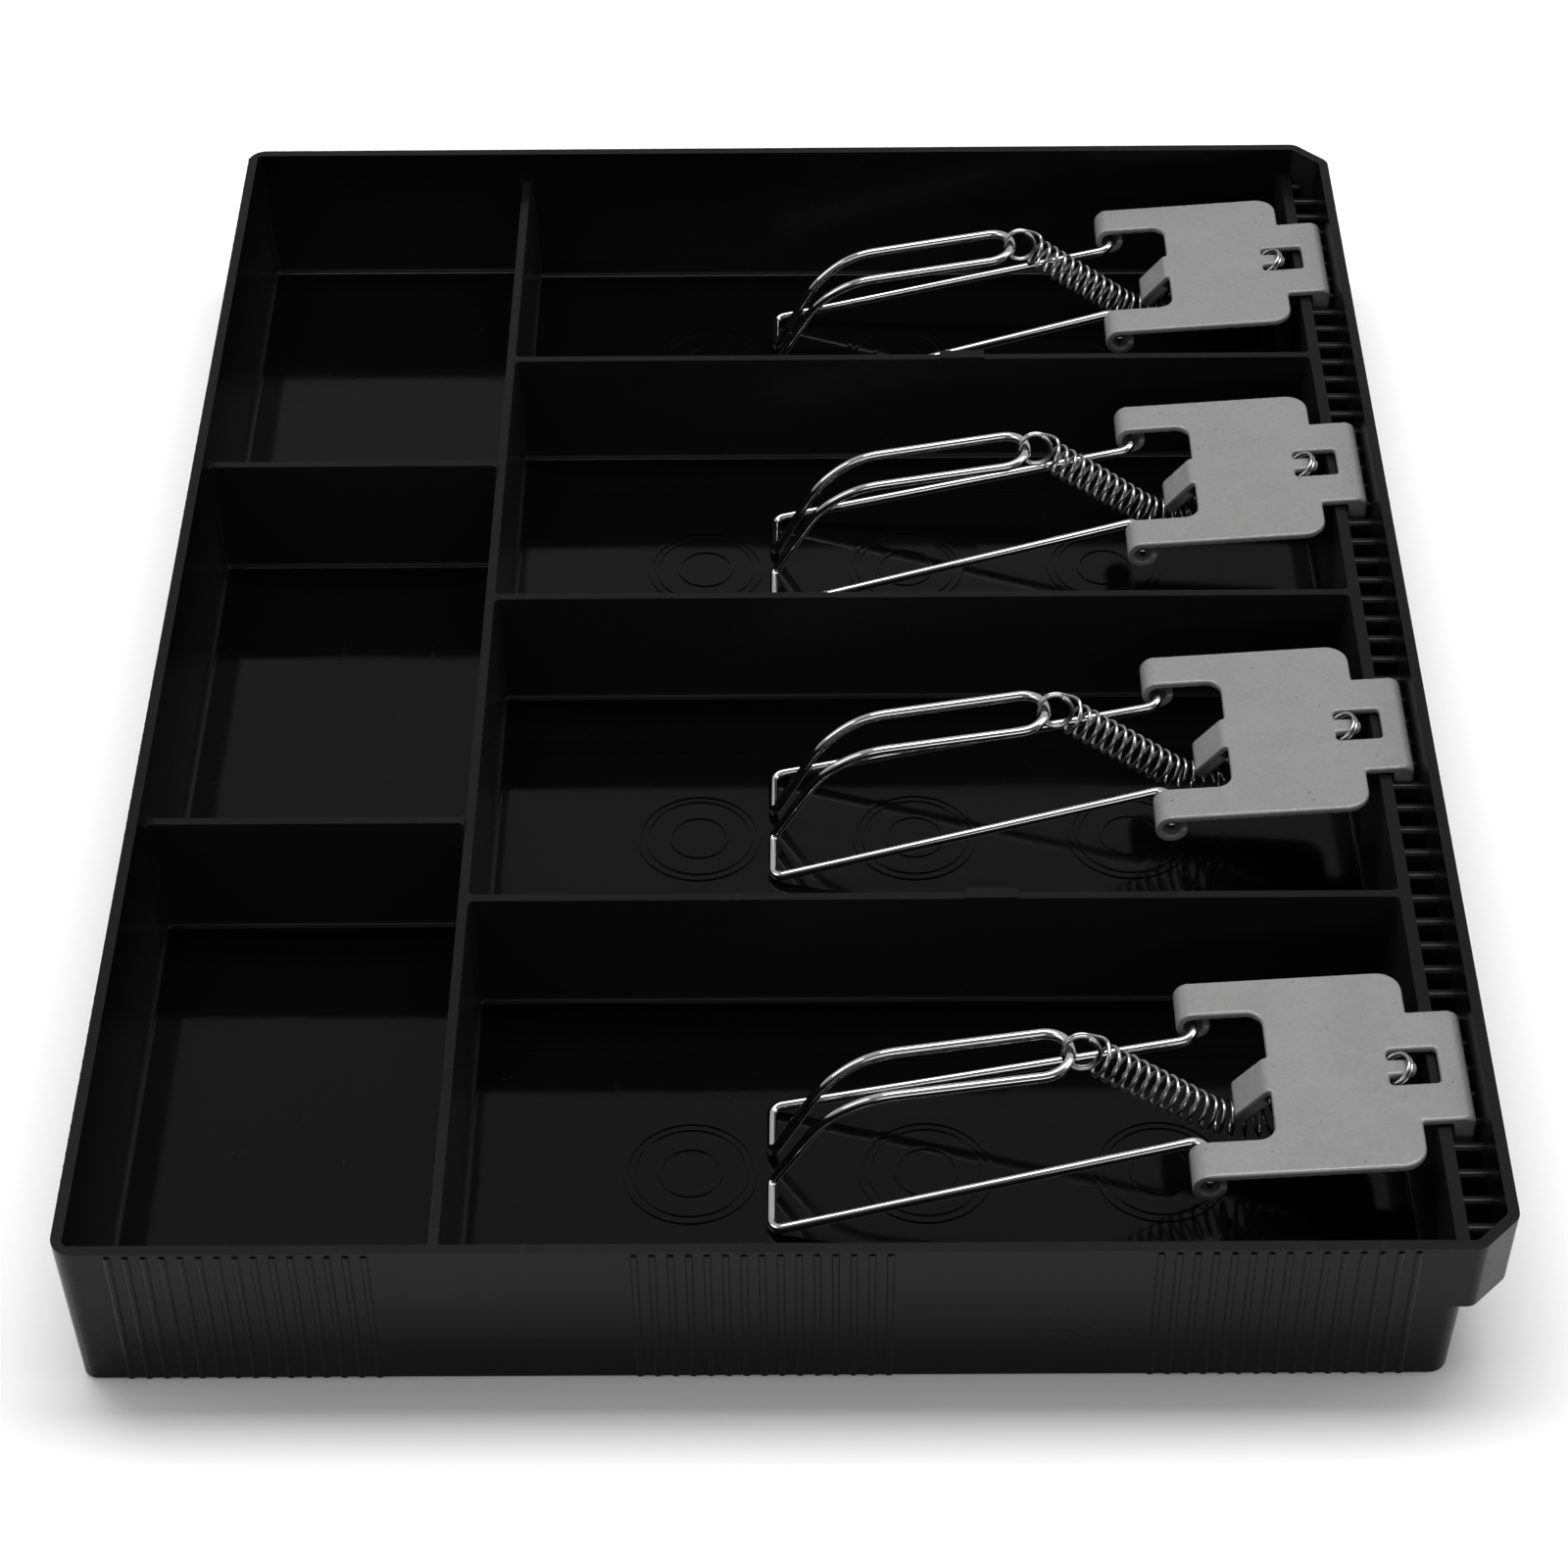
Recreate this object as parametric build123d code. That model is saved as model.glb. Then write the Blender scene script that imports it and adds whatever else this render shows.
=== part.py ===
from build123d import *
import math
import os

# Cash drawer insert: one moulded tray with coin bays on the left and note bays on the right, and
# a steel spring clip over each note bay. Millimetres. +X runs to the right, +Y to the back of the
# drawer and +Z up. The origin is the centre of the tray's flat bottom.

# Tray, outside
TRAY_WIDTH = 245.0
TRAY_DEPTH = 326.0
RIM_HEIGHT = 34.0
WALL = 2.0
OUTER_DRAFT = 2.1
CORNER_RADIUS = 4.0
CORNER_CUT = 6.8
CUT_CORNER_RADIUS = 3.0
FOOT_RIGHT = 113.5
FOOT_LEAN = 0.7
FOOT_CORNER_RADIUS = 3.5

# Tray, inside walls: places are those of their tops
WALL_LEAN = 1.1
NOTE_WALL_TOP = 27.3
COIN_WALL_TOP = 28.9
NOTE_FLOOR = 1.2
COIN_FLOOR = 2.4
LONG_WALL_X = (-60.4, -58.6)
RAIL_X = (112.7, 115.0)
DIVIDER = 1.7
NOTE_DIVIDERS_Y = (-72.6, 13.2, 92.4)
COIN_DIVIDERS_Y = (-53.4, 54.3)
POCKET_RADIUS = 1.2

# Rack: a channel on the right with cross ribs, where the clips stand
RACK_UNDERSIDE = 18.4
RACK_FLOOR = 19.7
RIB_TOP = 26.0
RIB_COUNT = 52
RIB_PITCH = 6.08
RIB = 2.1
FIRST_RIB_Y = -151.2

# Small details of the moulding
PAD_X = (33.0, 42.5)
PAD_WIDTH = 2.5
PAD_RISE = 0.7
FLOOR_LINES_Y = (-89.4, -88.0, -86.2, -4.7, -1.5, 78.4, 80.7, 152.5, 156.0)
FLOOR_LINE_X = (-56.8, 111.0)
FLOOR_LINE = 0.4
EMBLEM_X = (-17.4, 25.0, 67.3)
EMBLEM_RADIUS = 12.2
EMBLEM_RINGS = ((1.0, 0.8), (0.86, 0.5), (0.48, 0.6))
RELIEF = 0.3
GRIP_PITCH = 3.05
GRIP_RADIUS = 0.85
GRIP_PROUD = 0.3
GRIP_TOP = 33.2
GRIP_ZONES_X = (-91.4, -3.9, 83.6)
GRIP_ZONES_Y = (-126.0, -38.5, 50.5, 138.0)
END_GRIP_COUNT = 15
SIDE_GRIP_COUNT = 16

# Clips, counted from the back of the tray to the front. Each stands in two slots of the rack,
# two pitches either side of the slot at its middle, and is free to shift a little in them.
CLIP_SLOTS = (45, 33, 20, 5)
CLIP_SHIFTS = (1.0, 1.0, -1.0, 1.0)

# Clip plate. U runs along the plate to the right and W is square to it, from the top face at the
# right edge of the main part.
SHEET = 1.3
PLATE_ORIGIN_X = 110.0
PLATE_ORIGIN_Z = 28.55
PLATE_TILT = 4.3
MAIN_LENGTH = 25.4
MAIN_WIDTH = 46.2
MAIN_CORNER = 4.5
NOTCH_WIDTH = 29.9
NOTCH_CORNER = 3.0
TONGUE_LENGTH = 9.5
TONGUE_WIDTH = 26.0
CAP_START = 5.4
CAP_BEND = 1.9
CAP_SIDE_BEND = 0.9
LIP_DROP = 2.9
FLANGE_DROP = 8.6
EDGE_ROUND = 0.45
WINDOW_U = (-4.5, 4.3)
WINDOW_WIDTH = 8.2
HOOK_WIDTH = 3.6
HOOK_TIP_U = 0.5
CURL_RADIUS = 3.05
CURL_U = -37.5
STOP_WIDTH = 8.0
STOP_ANGLE = 46.7
STOP_LENGTH = 8.1
STOP_RETURN = 6.0
STOP_GAP = 0.35

# Bail: a wire with a foot that presses on the notes and a lever to lift it by
WIRE = 1.9
PIN_END_V = 22.4
ARM_ROOT_V = 11.9
ARM_TIP = (-2.8, 14.7, 2.3)
CROSS_V = 3.2
LEVER_KNEE = (6.4, 4.2, 19.6)
LEVER_SHOULDER = (14.2, 5.1, 26.2)
LEVER_END = (49.8, 5.2, 32.5)
ARM_BEND = 2.5
FOOT_BEND = 2.1
LEVER_BEND = 20.0

# Spring: the outside of the coil, with a ring round the bail and a loop over the plate's hook
COIL_DIAMETER = 6.9
COIL_START = (54.6, 30.9)
COIL_TURN = (80.6, 12.3)
COIL_END = (97.0, 21.6)
COIL_BEND = 13.0
END_WIRE = 1.1
RING_CENTRE = (51.3, 32.2)
RING_RADIUS = 3.35
LOOP_APEX = (-0.65, 0.95)
LOOP_RADIUS = 3.1
LOOP_TILT = 38.0


def box_between(low, high):
    """A block from its lowest corner to its highest corner."""
    size = [top - bottom for bottom, top in zip(low, high)]
    middle = [(top + bottom) / 2 for bottom, top in zip(low, high)]
    return Pos(*middle) * Box(*size)


def prism_along_y(points, y_low, y_high):
    """A prism along Y from its (x, z) outline."""
    outline = Plane.XZ.offset(-y_low) * make_face(Polyline(*points, close=True))
    return extrude(outline, amount=y_high - y_low, dir=(0, 1, 0))


def prism_along_x(points, x_low, x_high):
    """A prism along X from its (y, z) outline."""
    outline = Plane.YZ.offset(x_low) * make_face(Polyline(*points, close=True))
    return extrude(outline, amount=x_high - x_low)


def drift(drop, angle):
    """How far a face that leans by angle moves sideways over a drop."""
    return drop * math.tan(math.radians(angle))


# ---- Tray ----

def rim_outline():
    """The rim seen from above, with its two right corners cut off."""
    x = TRAY_WIDTH / 2
    y = TRAY_DEPTH / 2
    cut_x = x - CORNER_CUT
    cut_y = y - CORNER_CUT
    corners = [(-x, -y), (cut_x, -y), (x, -cut_y), (x, cut_y), (cut_x, y), (-x, y)]
    outline = make_face(Polyline(*corners, close=True))
    outline = fillet(outline.vertices().filter_by(lambda corner: corner.X < 0), CORNER_RADIUS)
    return fillet(outline.vertices().filter_by(lambda corner: corner.X > 0), CUT_CORNER_RADIUS)


def below_rim(outline, depth):
    """The space under an outline at the rim, drawing in towards the bottom as the walls do."""
    at_rim = Pos(0, 0, RIM_HEIGHT) * outline
    return extrude(at_rim, amount=depth, dir=(0, 0, -1), taper=OUTER_DRAFT)


def inside_down_to(height):
    """The inside of the four outer walls, from the rim down to a height."""
    return below_rim(offset(rim_outline(), amount=-WALL), RIM_HEIGHT - height)


def outer_body():
    """The outside of the tray: the rack hangs over the body on the right."""
    body = below_rim(rim_outline(), RIM_HEIGHT)
    half_depth = TRAY_DEPTH / 2
    beyond = TRAY_WIDTH
    under_rack = [(FOOT_RIGHT, 0), (FOOT_RIGHT + FOOT_LEAN, RACK_UNDERSIDE),
                  (beyond, RACK_UNDERSIDE), (beyond, -WALL), (FOOT_RIGHT, -WALL)]
    body -= prism_along_y(under_rack, -half_depth - WALL, half_depth + WALL)
    upright = body.edges().filter_by(lambda edge: abs(edge.center().Z - RACK_UNDERSIDE / 2) < 1
                                     and edge.center().X > RAIL_X[0])
    upright = upright.filter_by(lambda edge: abs(edge.center().Y) > half_depth - 2 * WALL)
    return fillet(upright, FOOT_CORNER_RADIUS)


def inner_wall(place, top):
    """An inside wall's face: its place at its top, the height of the top and its lean."""
    return place, top, WALL_LEAN


def outer_wall(place):
    """An outer wall's inner face: its place at the rim, the rim's height and the draft."""
    return place, RIM_HEIGHT, OUTER_DRAFT


def face_at(face, height, inwards):
    """Where a leaning face is at a height; inwards is +1 or -1, towards the bay's middle."""
    place, top, angle = face
    return place + inwards * drift(top - height, angle)


def bay(left, right, front, back, floor):
    """The hollow of one bay, from its floor to the rim, with small radii at the corners."""
    across = [(face_at(left, floor, 1), floor), (face_at(right, floor, -1), floor),
              (face_at(right, RIM_HEIGHT, -1), RIM_HEIGHT), (face_at(left, RIM_HEIGHT, 1), RIM_HEIGHT)]
    along = [(face_at(front, floor, 1), floor), (face_at(back, floor, -1), floor),
             (face_at(back, RIM_HEIGHT, -1), RIM_HEIGHT), (face_at(front, RIM_HEIGHT, 1), RIM_HEIGHT)]
    hollow = prism_along_y(across, -TRAY_DEPTH, TRAY_DEPTH) & prism_along_x(along, -TRAY_WIDTH, TRAY_WIDTH)
    rounded = hollow.edges().filter_by(lambda edge: edge.center().Z < RIM_HEIGHT - 1)
    return fillet(rounded, POCKET_RADIUS)


def row_of_bays(left, right, dividers, divider_top, floor):
    """Bays between the front and the back wall, parted by dividers."""
    inside_y = TRAY_DEPTH / 2 - WALL
    fronts = [outer_wall(-inside_y)] + [inner_wall(y + DIVIDER / 2, divider_top) for y in dividers]
    backs = [inner_wall(y - DIVIDER / 2, divider_top) for y in dividers] + [outer_wall(inside_y)]
    return [bay(left, right, front, back, floor) for front, back in zip(fronts, backs)]


def coin_bays():
    left = outer_wall(-TRAY_WIDTH / 2 + WALL)
    right = inner_wall(LONG_WALL_X[0], NOTE_WALL_TOP)
    return row_of_bays(left, right, COIN_DIVIDERS_Y, COIN_WALL_TOP, COIN_FLOOR)


def note_bays():
    left = inner_wall(LONG_WALL_X[1], NOTE_WALL_TOP)
    right = inner_wall(RAIL_X[0], NOTE_WALL_TOP)
    return row_of_bays(left, right, NOTE_DIVIDERS_Y, NOTE_WALL_TOP, NOTE_FLOOR)


def right_of(x):
    """Everything to the right of x, to keep that part of a hollow."""
    return box_between((x, -TRAY_DEPTH, 0), (TRAY_WIDTH, TRAY_DEPTH, 2 * RIM_HEIGHT))


def slot_y(number):
    """Middle of a slot of the rack, counted from the front."""
    return FIRST_RIB_Y + RIB_PITCH * (number + 0.5)


def rack_slots():
    """The gaps between the ribs, and the two half gaps at the ends of the rack."""
    half_gap = (RIB_PITCH - RIB) / 2
    gaps = [box_between((RAIL_X[1], slot_y(number) - half_gap, RACK_FLOOR),
                        (TRAY_WIDTH, slot_y(number) + half_gap, RIM_HEIGHT))
            for number in range(-1, RIB_COUNT)]
    return Compound(gaps)


def hollow_out(body):
    """Cut the space over the inner walls, the bays, the rack and its slots."""
    body -= inside_down_to(COIN_WALL_TOP)
    body -= inside_down_to(NOTE_WALL_TOP) & right_of(LONG_WALL_X[0])
    body -= inside_down_to(RIB_TOP) & right_of(RAIL_X[1])
    body -= inside_down_to(RACK_FLOOR) & rack_slots()
    for hollow in coin_bays() + note_bays():
        body -= hollow
    return body


def divider_pads():
    """Low pads on top of the front and back note dividers, left by the mould's pins."""
    pads = []
    for y in (NOTE_DIVIDERS_Y[0], NOTE_DIVIDERS_Y[-1]):
        low = (PAD_X[0], y - PAD_WIDTH / 2, NOTE_WALL_TOP - 1.0)
        high = (PAD_X[1], y + PAD_WIDTH / 2, NOTE_WALL_TOP + PAD_RISE)
        pads.append(box_between(low, high))
    return pads


def floor_lines():
    """Fine raised lines along the floors of the note bays."""
    return [box_between((FLOOR_LINE_X[0], y - FLOOR_LINE / 2, NOTE_FLOOR - RELIEF),
                        (FLOOR_LINE_X[1], y + FLOOR_LINE / 2, NOTE_FLOOR + RELIEF))
            for y in FLOOR_LINES_Y]


def note_bay_middles():
    """Middle of each note bay along Y, from the front."""
    ends = [-TRAY_DEPTH / 2 + WALL] + list(NOTE_DIVIDERS_Y) + [TRAY_DEPTH / 2 - WALL]
    return [(front + back) / 2 for front, back in zip(ends, ends[1:])]


def emblem(x, y):
    """A plain emblem of raised rings on a note bay's floor."""
    rings = []
    for share, width in EMBLEM_RINGS:
        outer = share * EMBLEM_RADIUS
        ring = Circle(outer) - Circle(outer - width)
        rings.append(extrude(Pos(x, y, NOTE_FLOOR - RELIEF) * ring, amount=2 * RELIEF))
    return rings


def grip_rib(x, y, lean_x, lean_y):
    """One half-round rib up an outer wall; lean says which way the wall faces."""
    axis = Vector(lean_x * drift(1, OUTER_DRAFT), lean_y * drift(1, OUTER_DRAFT), 1)
    foot = Vector(x, y, 0) - Vector(lean_x, lean_y, 0) * (GRIP_RADIUS - GRIP_PROUD)
    start = foot - axis * WALL
    rib = extrude(Plane(origin=start, z_dir=axis) * Circle(GRIP_RADIUS), amount=RIM_HEIGHT + WALL)
    keep = box_between((x - WALL * 2, y - WALL * 2, 0), (x + WALL * 2, y + WALL * 2, GRIP_TOP))
    return rib & keep


def grip_ribs():
    """Zones of upright ribs on the front, the back and the left side."""
    inset = drift(RIM_HEIGHT, OUTER_DRAFT)
    foot_x = -TRAY_WIDTH / 2 + inset
    foot_y = TRAY_DEPTH / 2 - inset
    ribs = []
    for zone in GRIP_ZONES_X:
        for step in range(END_GRIP_COUNT):
            x = zone + GRIP_PITCH * (step - (END_GRIP_COUNT - 1) / 2)
            ribs.append(grip_rib(x, -foot_y, 0, -1))
            ribs.append(grip_rib(x, foot_y, 0, 1))
    for zone in GRIP_ZONES_Y:
        for step in range(SIDE_GRIP_COUNT):
            y = zone + GRIP_PITCH * (step - (SIDE_GRIP_COUNT - 1) / 2)
            ribs.append(grip_rib(foot_x, y, -1, 0))
    return ribs


def tray():
    body = hollow_out(outer_body())
    emblems = [ring for y in note_bay_middles() for x in EMBLEM_X for ring in emblem(x, y)]
    return body.fuse(*divider_pads(), *floor_lines(), *emblems, *grip_ribs())


# ---- Clips ----

def clip_y(number):
    """Middle of a clip along Y; clips are numbered from 1 at the back."""
    return slot_y(CLIP_SLOTS[number - 1]) + CLIP_SHIFTS[number - 1]


def plate_plane(y):
    """The plate's own frame: X is U, Y is across the clip and Z is W."""
    tilt = math.radians(PLATE_TILT)
    along = (math.cos(tilt), 0, math.sin(tilt))
    square = (-math.sin(tilt), 0, math.cos(tilt))
    return Plane(origin=(PLATE_ORIGIN_X, y, PLATE_ORIGIN_Z), x_dir=along, z_dir=square)


def pivot_point():
    """Place of the bail's hinge line in X and Z: the middle of the curls."""
    pivot = plate_plane(0).from_local_coords(Vector(CURL_U, 0, -CURL_RADIUS))
    return pivot.X, pivot.Z


def strip(profile, width, across=0.0):
    """A strip of the plate's sheet: a (U, W) profile given a width across the clip."""
    return extrude(Plane.XZ.offset(-across) * profile, amount=width / 2, both=True)


def plate_outline():
    """The flat of the plate, from the ends of its fingers to the start of its right bend."""
    finger = (MAIN_WIDTH - NOTCH_WIDTH) / 2
    finger_length = -MAIN_LENGTH - CURL_U
    flat = Pos(-MAIN_LENGTH / 2, 0) * Rectangle(MAIN_LENGTH, MAIN_WIDTH)
    for side in (-1, 1):
        flat += Pos(CURL_U + finger_length / 2, side * (MAIN_WIDTH - finger) / 2) \
            * Rectangle(finger_length, finger)
    flat_tongue = TONGUE_LENGTH - CAP_BEND
    flat += Pos(flat_tongue / 2, 0) * Rectangle(flat_tongue, TONGUE_WIDTH)
    corners = flat.vertices()
    main = corners.filter_by(lambda corner: abs(corner.X) < 0.01 and abs(corner.Y) > TONGUE_WIDTH / 2 + 1)
    flat = fillet(main, MAIN_CORNER)
    notch = flat.vertices().filter_by(lambda corner: abs(corner.X + MAIN_LENGTH) < 0.01
                                      and abs(corner.Y) < MAIN_WIDTH / 2 - 1)
    return fillet(notch, NOTCH_CORNER)


def window_outline():
    """The window in the tongue, less the small hook that points right from its left edge."""
    length = WINDOW_U[1] - WINDOW_U[0]
    window = Pos(WINDOW_U[0] + length / 2, 0) * RectangleRounded(length, WINDOW_WIDTH, 0.8)
    hook_length = HOOK_TIP_U - WINDOW_U[0] - HOOK_WIDTH / 2
    hook = Pos(WINDOW_U[0] + hook_length / 2, 0) * Rectangle(hook_length, HOOK_WIDTH)
    hook += Pos(HOOK_TIP_U - HOOK_WIDTH / 2, 0) * Circle(HOOK_WIDTH / 2)
    return window - hook


def plate_sheet():
    flat = extrude(plate_outline() - window_outline(), amount=-SHEET)
    top_edges = flat.edges().filter_by(lambda edge: abs(edge.center().Z) < 0.01)
    inside = top_edges.filter_by(lambda edge: edge.center().X < TONGUE_LENGTH - CAP_BEND - 0.1)
    return fillet(inside, EDGE_ROUND)


def plate_cap():
    """The right end of the tongue: bent down to a lip, with a flange down into a slot each side."""
    depth = FLANGE_DROP
    half = TONGUE_WIDTH / 2
    upright_end = TONGUE_LENGTH - drift(depth, PLATE_TILT)
    side = [(CAP_START, 0), (TONGUE_LENGTH, 0), (upright_end, -depth), (CAP_START, -depth)]
    cap = prism_along_y(side, -half, half)
    end = cap.edges().filter_by(lambda edge: edge.center().X > TONGUE_LENGTH - 0.01
                                and edge.center().Z > -0.01)
    cap = fillet(end, CAP_BEND)
    sides = cap.edges().filter_by(lambda edge: abs(edge.center().Y) > half - 0.01
                                  and edge.center().X > CAP_START + 0.1
                                  and edge.center().Z > -depth + 0.1)
    cap = fillet(sides, CAP_SIDE_BEND)
    hollow = box_between((CAP_START - 1, -half + SHEET, -depth - 1), (TONGUE_LENGTH - SHEET, half - SHEET, -SHEET))
    inner_end = hollow.edges().filter_by(lambda edge: edge.center().X > TONGUE_LENGTH - SHEET - 0.01
                                         and edge.center().Z > -SHEET - 0.01)
    hollow = fillet(inner_end, CAP_BEND - SHEET)
    under_lip = box_between((CAP_START, -half + SHEET, -depth - 1), (TONGUE_LENGTH + 1, half - SHEET, -LIP_DROP))
    return cap - hollow - under_lip


def curl_profile():
    """A finger's end, rolled under into an eye for the bail's pin and left open at its end."""
    eye = Circle(CURL_RADIUS) - Circle(CURL_RADIUS - SHEET)
    eye -= Pos(CURL_RADIUS / 2, CURL_RADIUS / 2) * Rectangle(CURL_RADIUS, CURL_RADIUS)
    return Pos(CURL_U, -CURL_RADIUS) * eye


def stop_profile():
    """The stop: a narrow strip bent down from the notch and folded back on itself."""
    angle = math.radians(STOP_ANGLE)
    down = Vector(-math.cos(angle), -math.sin(angle))
    aside = Vector(math.sin(angle), -math.cos(angle))
    start = Vector(-MAIN_LENGTH + 1.0, -SHEET / 2)
    bend = Vector(-MAIN_LENGTH - 0.4, -SHEET / 2)
    tip = bend + down * STOP_LENGTH
    turned = tip + aside * (SHEET + STOP_GAP)
    end = turned - down * STOP_RETURN
    fold = (SHEET + STOP_GAP) / 2 - 0.01
    path = FilletPolyline(start, bend, tip, turned, end, radius=[1.2, fold, fold])
    return trace(path, line_width=SHEET)


def clip_plate(number):
    """The clip's steel plate."""
    plate = plate_sheet() + plate_cap()
    finger = (MAIN_WIDTH - NOTCH_WIDTH) / 2
    for side in (-1, 1):
        plate += strip(curl_profile(), finger, side * (MAIN_WIDTH - finger) / 2)
    plate += strip(stop_profile(), STOP_WIDTH)
    return plate_plane(clip_y(number)).location * plate


def bail_path():
    """Centre line of the bail's wire, with the clip's middle at Y = 0."""
    pivot_x, pivot_z = pivot_point()
    half = [(pivot_x, PIN_END_V, pivot_z), (pivot_x, ARM_ROOT_V, pivot_z), ARM_TIP,
            (ARM_TIP[0], CROSS_V, ARM_TIP[2]), LEVER_KNEE, LEVER_SHOULDER, LEVER_END]
    other = [(x, -y, z) for x, y, z in reversed(half)]
    end_bend = LEVER_END[1] - 0.1
    bends = [ARM_BEND, FOOT_BEND, 1.6, LEVER_BEND, LEVER_BEND, end_bend]
    return FilletPolyline(*half, *other, radius=bends + bends[::-1])


def clip_bail(number):
    """The clip's wire bail."""
    path = bail_path()
    start = Plane(origin=path @ 0, z_dir=path % 0)
    wire = sweep(start * Circle(WIRE / 2), path=path, transition=Transition.ROUND)
    return Pos(0, clip_y(number), 0) * wire


def clip_spring(number):
    """The clip's tension spring, as the outside of its coil with its two ends."""
    path = FilletPolyline(*[(x, 0, z) for x, z in (COIL_START, COIL_TURN, COIL_END)], radius=COIL_BEND)
    coil = sweep(Plane(origin=path @ 0, z_dir=path % 0) * Circle(COIL_DIAMETER / 2), path=path)
    ring_plane = Plane(origin=(RING_CENTRE[0], 0, RING_CENTRE[1]), z_dir=(0, 1, 0))
    ring = ring_plane.location * Torus(RING_RADIUS, END_WIRE / 2)
    tilt = math.radians(PLATE_TILT + LOOP_TILT)
    apex = plate_plane(0).from_local_coords(Vector(LOOP_APEX[0], 0, LOOP_APEX[1]))
    pull = Vector(-math.cos(tilt), 0, -math.sin(tilt))
    centre = apex + pull * LOOP_RADIUS
    loop_plane = Plane(origin=centre, x_dir=pull, z_dir=pull.cross(Vector(0, 1, 0)))
    loop = loop_plane.location * Torus(LOOP_RADIUS, END_WIRE / 2)
    back = centre + pull * LOOP_RADIUS
    neck_start = Vector(COIL_END[0], 0, COIL_END[1]) - (path % 1)
    neck_line = back - neck_start
    neck = extrude(Plane(origin=neck_start, z_dir=neck_line) * Circle(END_WIRE / 2), amount=neck_line.length)
    return Pos(0, clip_y(number), 0) * (coil + ring + neck + loop)


def main():
    os.makedirs("parts", exist_ok=True)
    export_step(tray(), "parts/tray.step")
    for number in range(1, len(CLIP_SLOTS) + 1):
        export_step(clip_plate(number), f"parts/clip_plate_{number}.step")
        export_step(clip_bail(number), f"parts/clip_bail_{number}.step")
        export_step(clip_spring(number), f"parts/clip_spring_{number}.step")


main()
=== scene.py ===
import math

import bmesh
import bpy
from mathutils import Matrix, Vector


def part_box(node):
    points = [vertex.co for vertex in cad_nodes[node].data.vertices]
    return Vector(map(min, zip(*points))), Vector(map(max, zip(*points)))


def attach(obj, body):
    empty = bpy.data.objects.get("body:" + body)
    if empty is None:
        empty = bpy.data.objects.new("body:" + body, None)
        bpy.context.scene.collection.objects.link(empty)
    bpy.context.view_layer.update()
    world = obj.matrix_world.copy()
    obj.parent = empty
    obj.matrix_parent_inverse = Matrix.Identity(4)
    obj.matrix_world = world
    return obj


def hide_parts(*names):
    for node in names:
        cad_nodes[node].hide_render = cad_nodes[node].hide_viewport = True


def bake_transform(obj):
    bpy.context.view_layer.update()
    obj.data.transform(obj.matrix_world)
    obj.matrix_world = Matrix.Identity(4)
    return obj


# Looks of the cash drawer insert: a glossy black moulded tray with four sprung steel note clips.
# The scene is in metres, in the frame of the CAD. The sizes of the clips and of the tray's edges
# are in millimetres, and MM turns them into metres. Angles are in degrees if not said otherwise.

MM = 0.001
CLIPS = (1, 2, 3, 4)

# Camera: place in metres, lens and sensor in millimetres
CAMERA_PLACE = (0.00416, -0.56981, 0.52054)
CAMERA_PITCH = 43.077
CAMERA_YAW = 0.502
CAMERA_ROLL = -0.652
LENS = 87.309
SENSOR = 36.0

# Bail: half of the wire's centre line from the clip's middle, as corners and their bend radii
WIRE = 1.9
WIRE_SIDES = 20
WIRE_CHAMFER = 0.25
BAIL_ARC_STEPS = 10
BAIL_HALF = (
    ((72.834, 22.4, 22.697), 0.0),
    ((72.834, 11.9, 22.697), 2.5),
    ((-2.8, 14.7, 2.3), 2.1),
    ((-2.8, 3.2, 2.3), 1.6),
    ((6.4, 4.2, 19.6), 20.0),
    ((14.2, 5.1, 26.2), 20.0),
    ((49.8, 5.2, 32.5), 5.1),
)

# Spring: the wire, the coil about its centre line, the ring on the bail, and the loop on the
# plate's hook. Pairs are x and z.
SPRING_WIRE = 0.78
SPRING_SIDES = 8
SPRING_CHAMFER = 0.1
SPRING_SPACING = 0.35
COIL_RADIUS = 3.05
COIL_PITCH = 2.2
COIL_SPACING = 0.1
COIL_ARC_STEPS = 24
COIL_START = (54.6, 30.9)
COIL_TURN = (80.6, 12.3)
COIL_END = (97.0, 21.6)
COIL_BEND = 13.0
RING_CENTRE = (51.6, 32.4)
RING_RADIUS = 3.25
RING_TILT = 15.0
RING_START_RADIANS = -1.2
PLATE_ORIGIN = (110.0, 28.55)
PLATE_TILT = 4.3
LOOP_APEX = (-0.65, 0.95)
LOOP_RADIUS = 3.1
LOOP_TILT = 38.0
LOOP_TURNS = 2
LOOP_STEPS = 28
BRIDGE_STEPS = 10
BRIDGE_REACH = 0.55

# Tray: how its CAD faces are merged, which edges are rounded, and where its two kinds of ribs are
MERGE = 0.002
FLAT = 0.5
SHARP = 40.0
TRAY_EDGE = 0.3
GRIPS_BELOW = 33.8
GRIPS_BEYOND_Y = 161.4
GRIPS_LEFT_OF = -120.9
RACK_LEFT = 114.5
RIB_TOP = 26.0
RIB_LEAST = 2.0
RIB_ROUND = 0.8
SAME = 0.05

# Tray's material, in metres: where the rims begin, and where the outer walls pass from their
# inner faces, which get painted light, to their outer ones
RIMS_FROM = (0.0195, 0.0215)
WALLS_X = (0.1195, 0.1205)
WALLS_Y = (0.1600, 0.1612)

# Plates: voxels, rounds of smoothing, and the share of the faces that is kept
PLATE_VOXEL = 0.22
PLATE_SOFTENING = 5
PLATE_KEPT = 0.35

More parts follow.
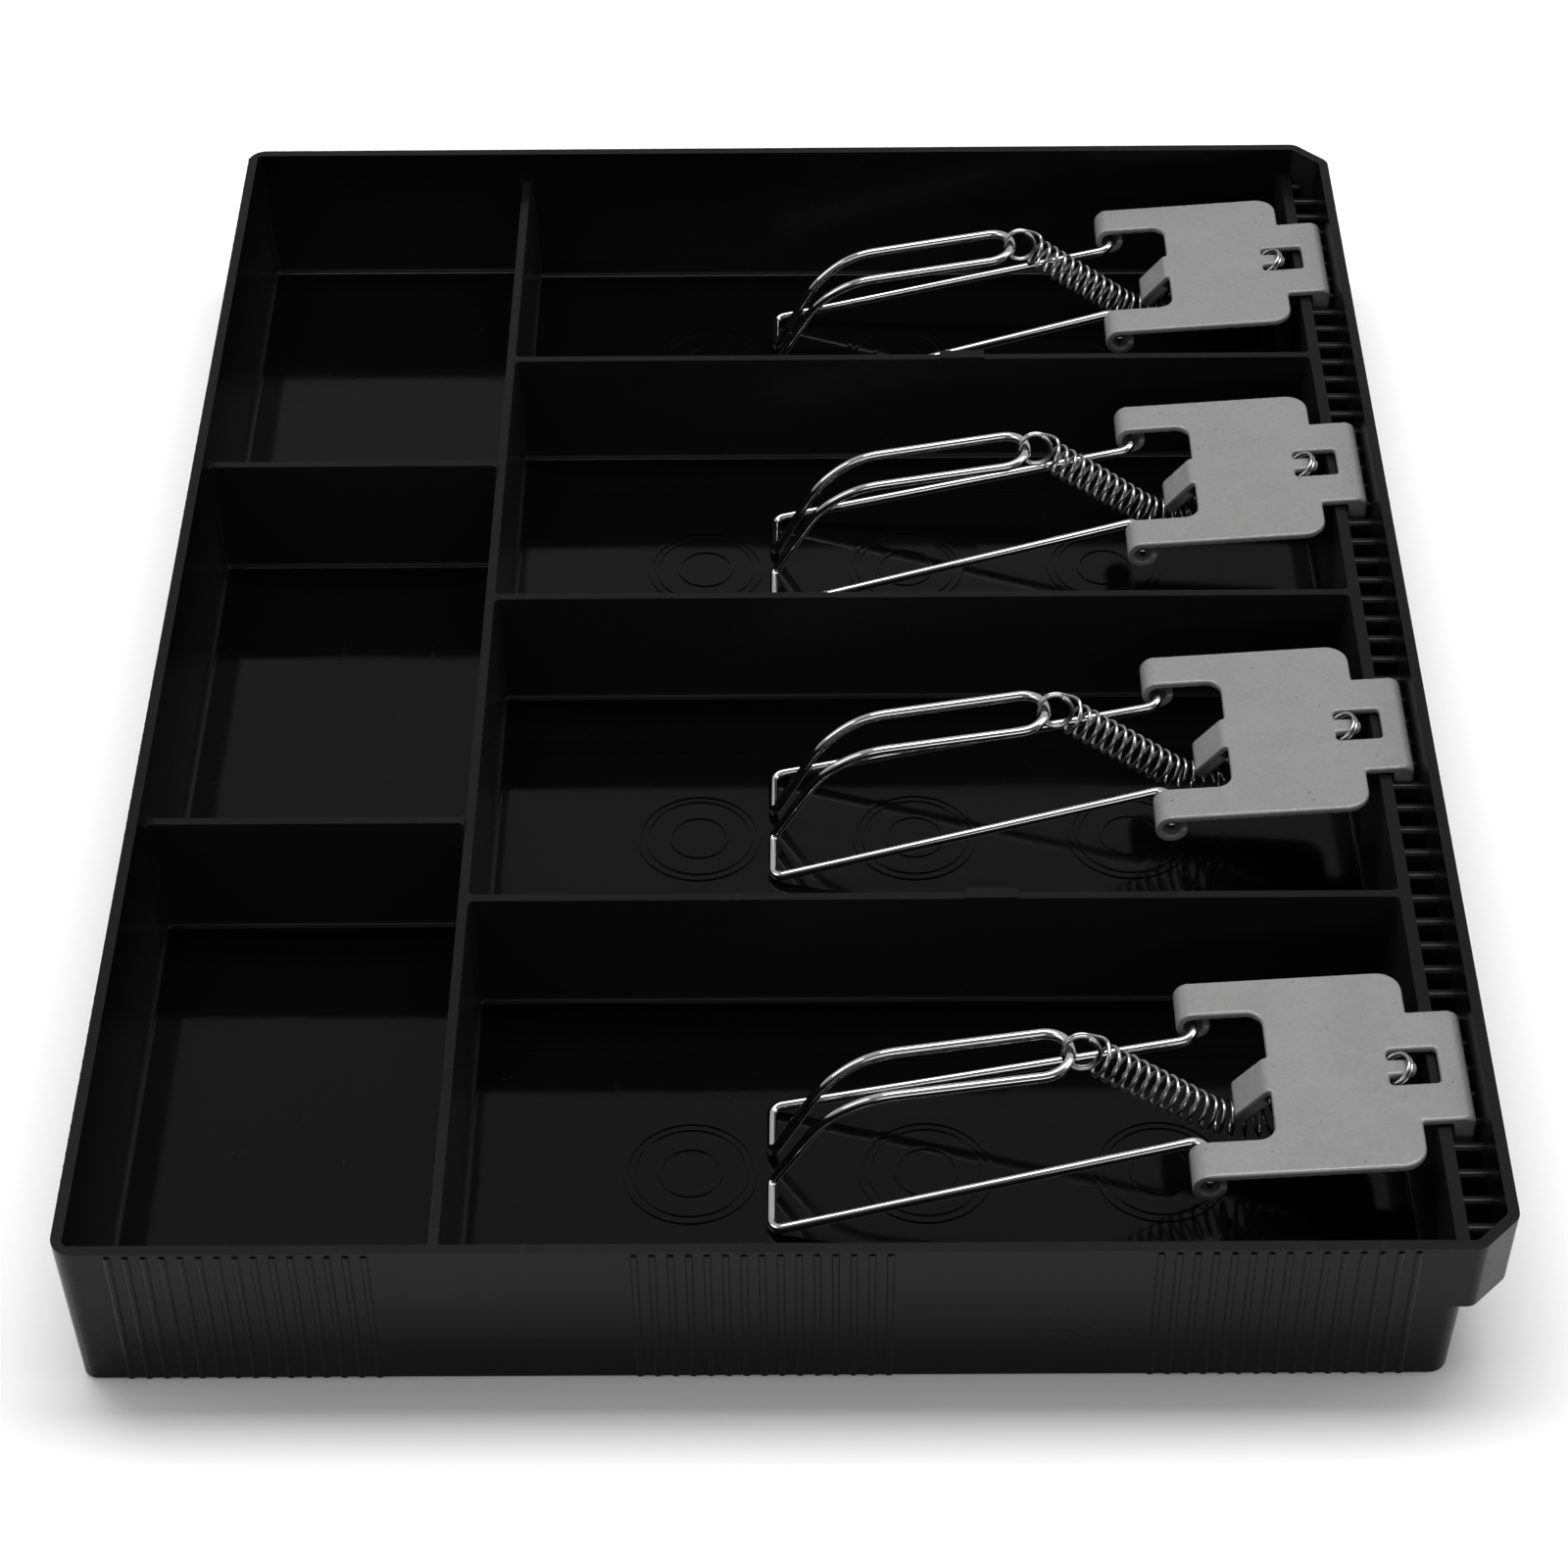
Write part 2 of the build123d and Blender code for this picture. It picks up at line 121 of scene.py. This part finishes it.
# Colours
FLOOR_BLACK = (0.0017, 0.0017, 0.0018)
RIM_BLACK = (0.0036, 0.0036, 0.0037)
# Painted light: the inner walls' black is lighter than the floors' to stand in for the light that
# falls on them
INNER_WALL_PAINTED_LIGHT = (0.0105, 0.0105, 0.0107)
DUST = (0.05, 0.05, 0.05)
PAINT_DARK = (0.172, 0.172, 0.172)
PAINT_LIGHT = (0.205, 0.205, 0.203)
PAINT_GRAIN = (0.262, 0.262, 0.262)
PAINT_SPECK = (0.04, 0.04, 0.04)
CHROME = (0.66, 0.66, 0.66)
CHROME_DULL = (0.54, 0.54, 0.54)
STEEL = (0.46, 0.46, 0.46)
STEEL_DULL = (0.34, 0.34, 0.34)
STUDIO_WHITE = (0.94, 0.94, 0.94)
STUDIO_SHADE = (0.90, 0.90, 0.90)

# Studio, in metres and watts. A light is its name, place, width, height and power.
FLOOR_HALF = 6.0
FLOOR_HEIGHT = -0.0003
WORLD_FRONT = 0.12
WORLD_BACK = 0.55
WORLD_FADE = (-0.75, 0.45)
LIGHTS_AIM = (0.0, 0.0, 0.0)
LIGHTS = (
    ("overhead", (0.0, 0.32, 1.4), 1.5, 0.5, 19.0),
    ("front", (0.0, -2.0, 0.9), 2.0, 0.5, 6.0),
    ("left", (-1.6, -0.1, 1.1), 1.1, 0.9, 5.0),
    ("right", (1.6, -0.1, 1.1), 1.1, 0.9, 5.0),
)

# The Mix node's colour sockets, which share their names with its other sockets
MIX_FIRST = 6
MIX_SECOND = 7
MIX_RESULT = 2


# ---- Nodes ----

class Nodes:
    """A short way to build a node material."""

    def __init__(self, name):
        self.material = bpy.data.materials.new(name)
        self.material.use_nodes = True
        self.tree = self.material.node_tree
        self.shader = self.tree.nodes["Principled BSDF"]
        self.place = self.tree.nodes.new("ShaderNodeTexCoord").outputs["Object"]

    def add(self, kind, **settings):
        node = self.tree.nodes.new(kind)
        for key, value in settings.items():
            setattr(node, key, value)
        return node

    def link(self, source, target):
        self.tree.links.new(source, target)

    def parts(self, vector):
        """A vector's outputs X, Y and Z."""
        node = self.add("ShaderNodeSeparateXYZ")
        self.link(vector, node.inputs["Vector"])
        return node.outputs

    def stretched(self, x, y, z):
        """The object's coordinates, scaled along each axis."""
        mapping = self.add("ShaderNodeMapping")
        mapping.inputs["Scale"].default_value = (x, y, z)
        self.link(self.place, mapping.inputs["Vector"])
        return mapping.outputs["Vector"]

    def noise(self, scale, detail=3.0, roughness=0.5, place=None):
        node = self.add("ShaderNodeTexNoise")
        node.inputs["Scale"].default_value = scale
        node.inputs["Detail"].default_value = detail
        node.inputs["Roughness"].default_value = roughness
        self.link(place or self.place, node.inputs["Vector"])
        return node.outputs["Fac"]

    def cells(self, scale):
        """Distance from the middle of the nearest cell."""
        node = self.add("ShaderNodeTexVoronoi")
        node.inputs["Scale"].default_value = scale
        self.link(self.place, node.inputs["Vector"])
        return node.outputs["Distance"]

    def ramp(self, source, low, high, from_value, to_value):
        """Map low..high to from_value..to_value, clamped."""
        node = self.add("ShaderNodeMapRange", clamp=True)
        node.inputs["From Min"].default_value = low
        node.inputs["From Max"].default_value = high
        node.inputs["To Min"].default_value = from_value
        node.inputs["To Max"].default_value = to_value
        self.link(source, node.inputs["Value"])
        return node.outputs["Result"]

    def math(self, operation, first, second):
        node = self.add("ShaderNodeMath", operation=operation)
        for socket, value in zip(node.inputs, (first, second)):
            if isinstance(value, (int, float)):
                socket.default_value = value
            else:
                self.link(value, socket)
        return node.outputs["Value"]

    def mix(self, factor, first, second):
        """Mix two colours by a factor."""
        node = self.add("ShaderNodeMix", data_type="RGBA")
        self.link(factor, node.inputs["Factor"])
        for socket, value in ((MIX_FIRST, first), (MIX_SECOND, second)):
            if isinstance(value, tuple):
                node.inputs[socket].default_value = (*value, 1.0)
            else:
                self.link(value, node.inputs[socket])
        return node.outputs[MIX_RESULT]

    def bump(self, height, strength, distance, below=None):
        node = self.add("ShaderNodeBump")
        node.inputs["Strength"].default_value = strength
        node.inputs["Distance"].default_value = distance
        self.link(height, node.inputs["Height"])
        if below is not None:
            self.link(below, node.inputs["Normal"])
        return node.outputs["Normal"]

    def facing_up(self):
        """0 on upright faces, 1 on level faces that face up."""
        normal = self.add("ShaderNodeNewGeometry").outputs["Normal"]
        return self.ramp(self.parts(normal)["Z"], 0.8, 0.97, 0.0, 1.0)

    def height(self):
        return self.parts(self.place)["Z"]

    def inside(self):
        """1 inside the tray's outer walls, 0 on their outer faces."""
        place = self.parts(self.place)
        along_x = self.ramp(self.math("ABSOLUTE", place["X"], 0.0), *WALLS_X, 1.0, 0.0)
        along_y = self.ramp(self.math("ABSOLUTE", place["Y"], 0.0), *WALLS_Y, 1.0, 0.0)
        return self.math("MULTIPLY", along_x, along_y)


def black_plastic():
    """Glossy black moulded plastic: polished floors, duller rims and walls, painted light on the
    inner walls, dust and scratches.
    """
    n = Nodes("black_plastic_gloss")
    up = n.facing_up()
    top = n.math("MULTIPLY", up, n.ramp(n.height(), *RIMS_FROM, 0.0, 1.0))
    wall = n.math("SUBTRACT", 1.0, up)
    painted_light_walls = n.math("MULTIPLY", wall, n.inside())
    patches = n.noise(26.0, 4.0, 0.55)
    scratches = n.noise(420.0, 2.0, 0.6, n.stretched(1.0, 0.06, 1.0))
    crossed = n.noise(420.0, 2.0, 0.6, n.stretched(0.05, 1.0, 1.0))
    dust = n.ramp(n.cells(520.0), 0.05, 0.11, 1.0, 0.0)
    dust = n.math("MULTIPLY", dust, n.ramp(n.noise(60.0, 2.0), 0.56, 0.66, 0.0, 1.0))
    base = n.mix(top, FLOOR_BLACK, RIM_BLACK)
    # Painted light: the inner walls take a lighter black that stands in for the light falling on
    # them
    base = n.mix(painted_light_walls, base, INNER_WALL_PAINTED_LIGHT)
    base = n.mix(n.math("MULTIPLY", dust, 0.12), base, DUST)
    n.link(base, n.shader.inputs["Base Color"])
    gloss = n.ramp(patches, 0.3, 0.75, 0.055, 0.12)
    gloss = n.math("ADD", gloss, n.ramp(scratches, 0.62, 0.8, 0.0, 0.09))
    gloss = n.math("ADD", gloss, n.ramp(crossed, 0.64, 0.8, 0.0, 0.07))
    gloss = n.math("ADD", gloss, n.math("MULTIPLY", top, 0.17))
    gloss = n.math("ADD", gloss, n.math("MULTIPLY", wall, 0.2))
    n.link(n.math("ADD", gloss, n.math("MULTIPLY", dust, 0.3)), n.shader.inputs["Roughness"])
    wave = n.bump(n.noise(34.0, 1.0, 0.4), 0.10, 0.0010)
    grain = n.bump(n.noise(1500.0, 2.0, 0.5), 0.05, 0.00008, wave)
    n.link(grain, n.shader.inputs["Normal"])
    n.shader.inputs["IOR"].default_value = 1.5
    n.shader.inputs["Specular IOR Level"].default_value = 0.14
    return n.material


def grey_paint():
    """Neutral grey paint on steel: an even satin coat with a fine grain and dark specks."""
    n = Nodes("grey_paint_satin")
    specks = n.ramp(n.cells(430.0), 0.07, 0.125, 1.0, 0.0)
    specks = n.math("MULTIPLY", specks, n.ramp(n.noise(230.0, 2.0), 0.52, 0.6, 0.0, 1.0))
    clouds = n.noise(90.0, 4.0, 0.6)
    grain = n.ramp(n.noise(1300.0, 3.0, 0.7), 0.38, 0.62, 0.0, 1.0)
    base = n.mix(clouds, PAINT_DARK, PAINT_LIGHT)
    base = n.mix(n.math("MULTIPLY", grain, 0.4), base, PAINT_GRAIN)
    base = n.mix(n.math("MULTIPLY", specks, 0.85), base, PAINT_SPECK)
    n.link(base, n.shader.inputs["Base Color"])
    n.link(n.ramp(clouds, 0.3, 0.7, 0.24, 0.33), n.shader.inputs["Roughness"])
    n.shader.inputs["Specular IOR Level"].default_value = 0.6
    peel = n.bump(n.noise(900.0, 3.0, 0.6), 0.12, 0.00008)
    n.link(n.bump(specks, 0.3, 0.00005, peel), n.shader.inputs["Normal"])
    return n.material


def wire_metal(name, bright, dull, low, high, bump):
    """Drawn wire: a fine grain, and duller patches. Its roughness goes from low to high."""
    n = Nodes(name)
    patches = n.noise(140.0, 4.0, 0.6)
    fine = n.noise(1800.0, 2.0, 0.5)
    base = n.mix(n.ramp(patches, 0.35, 0.75, 0.0, 1.0), bright, dull)
    n.link(base, n.shader.inputs["Base Color"])
    n.link(n.ramp(patches, 0.3, 0.75, low, high), n.shader.inputs["Roughness"])
    n.link(n.bump(fine, bump, 0.00004), n.shader.inputs["Normal"])
    n.shader.inputs["Metallic"].default_value = 1.0
    return n.material


# ---- Pieces ----

def placed(name, mesh):
    """A new object in the scene."""
    piece = bpy.data.objects.new(name, mesh)
    bpy.context.scene.collection.objects.link(piece)
    return piece


def finished(name, grid):
    """An object from a bmesh, with its four-sided faces shaded smooth."""
    mesh = bpy.data.meshes.new(name)
    grid.to_mesh(mesh)
    grid.free()
    for face in mesh.polygons:
        face.use_smooth = len(face.vertices) == 4
    return placed(name, mesh)


def dress(piece, material):
    piece.data.materials.clear()
    piece.data.materials.append(material)


# ---- Wire shapes, in millimetres ----

def rounded_line(points, radii, steps):
    """A broken line with its corners rounded: the points of runs and arcs."""
    line = [Vector(points[0])]
    for before, corner, after, radius in zip(points, points[1:], points[2:], radii[1:]):
        corner = Vector(corner)
        back = (Vector(before) - corner).normalized()
        ahead = (Vector(after) - corner).normalized()
        half = back.angle(ahead) / 2
        reach = radius / math.tan(half)
        middle = corner + (back + ahead).normalized() * (radius / math.sin(half))
        start = corner + back * reach
        end = corner + ahead * reach
        spoke = start - middle
        axis = spoke.cross(end - middle).normalized()
        sweep = spoke.angle(end - middle)
        for step in range(steps + 1):
            line.append(middle + Matrix.Rotation(sweep * step / steps, 3, axis) @ spoke)
    line.append(Vector(points[-1]))
    return line


def resampled(line, spacing):
    """Points at an even spacing along a line."""
    lengths = [0.0]
    for first, second in zip(line, line[1:]):
        lengths.append(lengths[-1] + (second - first).length)
    count = max(2, round(lengths[-1] / spacing))
    out = []
    at = 0
    for step in range(count + 1):
        goal = lengths[-1] * step / count
        while at < len(line) - 2 and lengths[at + 1] < goal:
            at += 1
        span = lengths[at + 1] - lengths[at]
        share = (goal - lengths[at]) / span if span else 0.0
        out.append(line[at].lerp(line[at + 1], share))
    return out


def heading(line, index):
    """The direction of a line at one of its points."""
    first = line[max(index - 1, 0)]
    second = line[min(index + 1, len(line) - 1)]
    return (second - first).normalized()


def tube(name, line, radius, sides, chamfer):
    """A closed tube of round wire along a line, with chamfered ends."""
    grid = bmesh.new()
    rings = []
    normal = None
    for index, point in enumerate(line):
        along = heading(line, index)
        if normal is None:
            normal = along.orthogonal().normalized()
        normal = (normal - along * normal.dot(along)).normalized()
        aside = along.cross(normal)
        places = [(point, radius)]
        if index == 0:
            places = [(point, radius - chamfer), (point + along * chamfer, radius)]
        if index == len(line) - 1:
            places = [(point - along * chamfer, radius), (point, radius - chamfer)]
        for place, size in places:
            ring = []
            for side in range(sides):
                turn = 2 * math.pi * side / sides
                out = normal * math.cos(turn) + aside * math.sin(turn)
                ring.append(grid.verts.new((place + out * size) * MM))
            rings.append(ring)
    for ring, after in zip(rings, rings[1:]):
        for side in range(sides):
            other = (side + 1) % sides
            grid.faces.new((ring[side], ring[other], after[other], after[side]))
    grid.faces.new(rings[0][::-1])
    grid.faces.new(rings[-1])
    bmesh.ops.recalc_face_normals(grid, faces=grid.faces)
    return finished(name, grid)


# ---- Bails and springs ----

def clip_middle(number):
    """The y of a clip's middle, in millimetres."""
    low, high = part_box(f"clip_spring_{number}")
    return (low[1] + high[1]) / 2 / MM


def make_bail(number, material):
    y = clip_middle(number)
    half = [(Vector(point), bend) for point, bend in BAIL_HALF]
    mirrored = [(Vector((point.x, -point.y, point.z)), bend) for point, bend in reversed(half)]
    corners = half + mirrored
    points = [point for point, bend in corners]
    bends = [bend for point, bend in corners]
    line = rounded_line(points, bends, BAIL_ARC_STEPS)
    line = [point + Vector((0, y, 0)) for point in line]
    piece = tube(f"bail_wire_{number}", line, WIRE / 2, WIRE_SIDES, WIRE_CHAMFER)
    dress(piece, material)
    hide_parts(f"clip_bail_{number}")
    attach(piece, f"bail_{number}")


def coil_line():
    """Centre line of the coil, from the ring's side to the window's side."""
    points = [Vector((x, 0, z)) for x, z in (COIL_START, COIL_TURN, COIL_END)]
    return resampled(rounded_line(points, [0, COIL_BEND], COIL_ARC_STEPS), COIL_SPACING)


def helix(line, radius, pitch):
    """A helix about a line in the XZ plane."""
    out = []
    travelled = 0.0
    for index, point in enumerate(line):
        up = heading(line, index).cross(Vector((0, 1, 0))).normalized()
        if index:
            travelled += (point - line[index - 1]).length
        turn = 2 * math.pi * travelled / pitch
        out.append(point + (up * math.cos(turn) - Vector((0, 1, 0)) * math.sin(turn)) * radius)
    return out


def loop(centre, radius, x_axis, y_axis, start=0.0):
    """Turns of spring wire round a centre, side by side."""
    axis = x_axis.cross(y_axis)
    out = []
    for step in range(LOOP_TURNS * LOOP_STEPS + 1):
        turn = start + 2 * math.pi * step / LOOP_STEPS
        climb = SPRING_WIRE * (step / LOOP_STEPS - LOOP_TURNS / 2)
        spoke = x_axis * math.cos(turn) + y_axis * math.sin(turn)
        out.append(centre + spoke * radius + axis * climb)
    return out


def spring_ring():
    """The ring round the bail's U end."""
    centre = Vector((RING_CENTRE[0], 0, RING_CENTRE[1]))
    lean = math.radians(RING_TILT)
    up = Vector((0, math.sin(lean), math.cos(lean)))
    return loop(centre, RING_RADIUS, Vector((1, 0, 0)), -up, RING_START_RADIANS)


def spring_loop():
    """The loop over the hook in the plate's window."""
    lean = math.radians(PLATE_TILT)
    along = Vector((math.cos(lean), 0, math.sin(lean)))
    square = Vector((-math.sin(lean), 0, math.cos(lean)))
    origin = Vector((PLATE_ORIGIN[0], 0, PLATE_ORIGIN[1]))
    apex = origin + along * LOOP_APEX[0] + square * LOOP_APEX[1]
    tilt = math.radians(PLATE_TILT + LOOP_TILT)
    pull = Vector((-math.cos(tilt), 0, -math.sin(tilt)))
    return loop(apex + pull * LOOP_RADIUS, LOOP_RADIUS, pull, Vector((0, 1, 0)))


def bridge(before, after):
    """A smooth run of wire from the end of one line to the start of the next."""
    start = before[-1]
    end = after[0]
    reach = (end - start).length
    leave = start + (before[-1] - before[-2]).normalized() * reach * BRIDGE_REACH
    arrive = end - (after[1] - after[0]).normalized() * reach * BRIDGE_REACH
    out = []
    for step in range(1, BRIDGE_STEPS):
        t = step / BRIDGE_STEPS
        s = 1 - t
        out.append(start * s ** 3 + leave * 3 * t * s ** 2 + arrive * 3 * t * t * s + end * t ** 3)
    return out


def make_spring(number, material):
    """A spring of wire from the ring round the bail's U end, through the coil, to the loop on the
    plate's hook.
    """
    y = clip_middle(number)
    ring = spring_ring()
    coil = helix(coil_line(), COIL_RADIUS, COIL_PITCH)
    hook = spring_loop()
    wire = ring + bridge(ring, coil) + coil + bridge(coil, hook) + hook
    line = resampled([point + Vector((0, y, 0)) for point in wire], SPRING_SPACING)
    piece = tube(f"spring_wire_{number}", line, SPRING_WIRE / 2, SPRING_SIDES, SPRING_CHAMFER)
    dress(piece, material)
    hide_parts(f"clip_spring_{number}")
    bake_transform(piece)


# ---- Tray: the CAD's shape with its sharp edges rounded ----

def round_rack_ribs(grid):
    """Round the tops of the rack's cross ribs."""
    ridges = []
    for edge in grid.edges:
        first, second = (vertex.co / MM for vertex in edge.verts)
        level = abs(first.z - RIB_TOP) < SAME and abs(second.z - RIB_TOP) < SAME
        crosswise = abs(first.y - second.y) < SAME and abs(first.x - second.x) > RIB_LEAST
        if level and crosswise and min(first.x, second.x) > RACK_LEFT:
            ridges.append(edge)
    bmesh.ops.bevel(grid, geom=ridges, offset=RIB_ROUND * MM, offset_type="OFFSET", segments=3,
                    profile=0.5, affect="EDGES", clamp_overlap=True)


def on_grips(place):
    """True on the outer faces that carry grip ribs, below the rim."""
    return place.z < GRIPS_BELOW and (abs(place.y) > GRIPS_BEYOND_Y or place.x < GRIPS_LEFT_OF)


def choose_edges(grid):
    """Weigh the sharp edges that are to be rounded, and keep those of the grip ribs sharp."""
    weights = grid.edges.layers.float.new("bevel_weight_edge")
    for edge in grid.edges:
        if len(edge.link_faces) != 2 or edge.calc_face_angle(0.0) < math.radians(SHARP):
            continue
        if any(on_grips(vertex.co / MM) for vertex in edge.verts):
            edge.smooth = False
        else:
            edge[weights] = 1.0


def make_tray(material):
    """A copy of the CAD tray with its faces merged and its sharp edges rounded off."""
    grid = bmesh.new()
    grid.from_mesh(cad_nodes["tray"].data)
    bmesh.ops.remove_doubles(grid, verts=grid.verts, dist=MERGE * MM)
    bmesh.ops.dissolve_limit(grid, angle_limit=math.radians(FLAT), verts=grid.verts,
                             edges=grid.edges, delimit={"NORMAL"})
    round_rack_ribs(grid)
    choose_edges(grid)
    mesh = bpy.data.meshes.new("tray_moulding")
    grid.to_mesh(mesh)
    grid.free()
    for face in mesh.polygons:
        face.use_smooth = True
    piece = placed("tray_moulding", mesh)
    bevel = piece.modifiers.new("edges", "BEVEL")
    bevel.width = TRAY_EDGE * MM
    bevel.segments = 2
    bevel.limit_method = "WEIGHT"
    bevel.use_clamp_overlap = True
    normals = piece.modifiers.new("normals", "WEIGHTED_NORMAL")
    normals.keep_sharp = True
    normals.weight = 100
    dress(piece, material)
    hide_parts("tray")
    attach(piece, "tray")


# ---- Plates: the CAD's shape with all its edges softened ----

def applied(piece):
    """A new mesh with a piece's modifiers applied."""
    graph = bpy.context.evaluated_depsgraph_get()
    return bpy.data.meshes.new_from_object(piece.evaluated_get(graph))


def painted_plate():
    """The first clip's plate with all its edges softened, as a coat of paint leaves them."""
    work = placed("plate_work", cad_nodes["clip_plate_1"].data.copy())
    voxels = work.modifiers.new("voxels", "REMESH")
    voxels.mode = "VOXEL"
    voxels.voxel_size = PLATE_VOXEL * MM
    soften = work.modifiers.new("soften", "SMOOTH")
    soften.factor = 0.5
    soften.iterations = PLATE_SOFTENING
    fewer = work.modifiers.new("fewer", "DECIMATE")
    fewer.ratio = PLATE_KEPT
    shape = applied(work)
    bpy.data.objects.remove(work)
    for face in shape.polygons:
        face.use_smooth = True
    return shape


def make_plate(number, shape, material):
    """A copy of the softened plate at a clip's place."""
    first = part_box("clip_plate_1")[0][1]
    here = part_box(f"clip_plate_{number}")[0][1]
    mesh = shape.copy()
    mesh.transform(Matrix.Translation((0, here - first, 0)))
    piece = placed(f"plate_{number}", mesh)
    dress(piece, material)
    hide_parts(f"clip_plate_{number}")
    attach(piece, f"clip_{number}")


# ---- Camera, floor and lights ----

def make_camera():
    pitch = math.radians(CAMERA_PITCH)
    yaw = math.radians(CAMERA_YAW)
    roll = math.radians(CAMERA_ROLL)
    level = math.cos(pitch)
    ahead = Vector((-math.sin(yaw) * level, math.cos(yaw) * level, -math.sin(pitch)))
    right = Vector((math.cos(yaw), math.sin(yaw), 0))
    up = right.cross(ahead)
    rolled_right = right * math.cos(roll) + up * math.sin(roll)
    rolled_up = up * math.cos(roll) - right * math.sin(roll)
    turn = Matrix((rolled_right, rolled_up, -ahead)).transposed()
    data = bpy.data.cameras.new("camera")
    data.lens = LENS
    data.sensor_width = SENSOR
    camera = placed("camera", data)
    camera.matrix_world = Matrix.Translation(CAMERA_PLACE) @ turn.to_4x4()
    bpy.context.scene.camera = camera


def area_light(name, place, width, height, power):
    data = bpy.data.lights.new(name, "AREA")
    data.shape = "RECTANGLE"
    data.size = width
    data.size_y = height
    data.energy = power
    light = placed(name, data)
    light.location = place
    aim = Vector(LIGHTS_AIM) - Vector(place)
    light.rotation_euler = aim.to_track_quat("-Z", "Y").to_euler()


def make_floor():
    """A plain white floor, just under the tray."""
    grid = bmesh.new()
    signs = ((-1, -1), (1, -1), (1, 1), (-1, 1))
    corners = [(x * FLOOR_HALF, y * FLOOR_HALF, FLOOR_HEIGHT) for x, y in signs]
    grid.faces.new([grid.verts.new(corner) for corner in corners])
    floor = finished("floor", grid)
    n = Nodes("floor_white")
    shade = n.ramp(n.noise(3.0, 2.0), 0.3, 0.7, 0.93, 0.95)
    n.link(n.mix(shade, STUDIO_SHADE, STUDIO_WHITE), n.shader.inputs["Base Color"])
    n.shader.inputs["Roughness"].default_value = 0.9
    n.shader.inputs["Specular IOR Level"].default_value = 0.1
    floor.data.materials.append(n.material)


def make_world():
    """A plain studio: its front side is darker than its back."""
    world = bpy.data.worlds.new("world")
    world.use_nodes = True
    nodes = world.node_tree.nodes
    link = world.node_tree.links.new
    place = nodes.new("ShaderNodeTexCoord")
    parts = nodes.new("ShaderNodeSeparateXYZ")
    fade = nodes.new("ShaderNodeMapRange")
    fade.interpolation_type = "SMOOTHSTEP"
    fade.inputs["From Min"].default_value = WORLD_FADE[0]
    fade.inputs["From Max"].default_value = WORLD_FADE[1]
    fade.inputs["To Min"].default_value = WORLD_FRONT
    fade.inputs["To Max"].default_value = WORLD_BACK
    link(place.outputs["Generated"], parts.inputs["Vector"])
    link(parts.outputs["Y"], fade.inputs["Value"])
    link(fade.outputs["Result"], nodes["Background"].inputs["Strength"])
    nodes["Background"].inputs["Color"].default_value = (1.0, 1.0, 1.0, 1.0)
    bpy.context.scene.world = world


# ---- The scene ----

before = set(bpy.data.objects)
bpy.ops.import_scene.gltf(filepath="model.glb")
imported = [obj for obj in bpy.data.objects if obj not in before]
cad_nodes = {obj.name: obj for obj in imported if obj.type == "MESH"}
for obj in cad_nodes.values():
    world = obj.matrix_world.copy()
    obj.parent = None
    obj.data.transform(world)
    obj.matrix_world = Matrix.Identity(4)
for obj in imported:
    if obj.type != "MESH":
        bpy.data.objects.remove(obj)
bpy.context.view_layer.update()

bpy.context.scene.view_settings.view_transform = "Standard"

make_camera()
plastic = black_plastic()
paint = grey_paint()
chrome = wire_metal("chrome_wire_bright", CHROME, CHROME_DULL, 0.04, 0.12, 0.06)
steel = wire_metal("spring_steel_drawn", STEEL, STEEL_DULL, 0.12, 0.26, 0.15)

make_tray(plastic)
plate_shape = painted_plate()
for number in CLIPS:
    make_plate(number, plate_shape, paint)
    make_bail(number, chrome)
    make_spring(number, steel)

make_floor()
make_world()
for light in LIGHTS:
    area_light(*light)
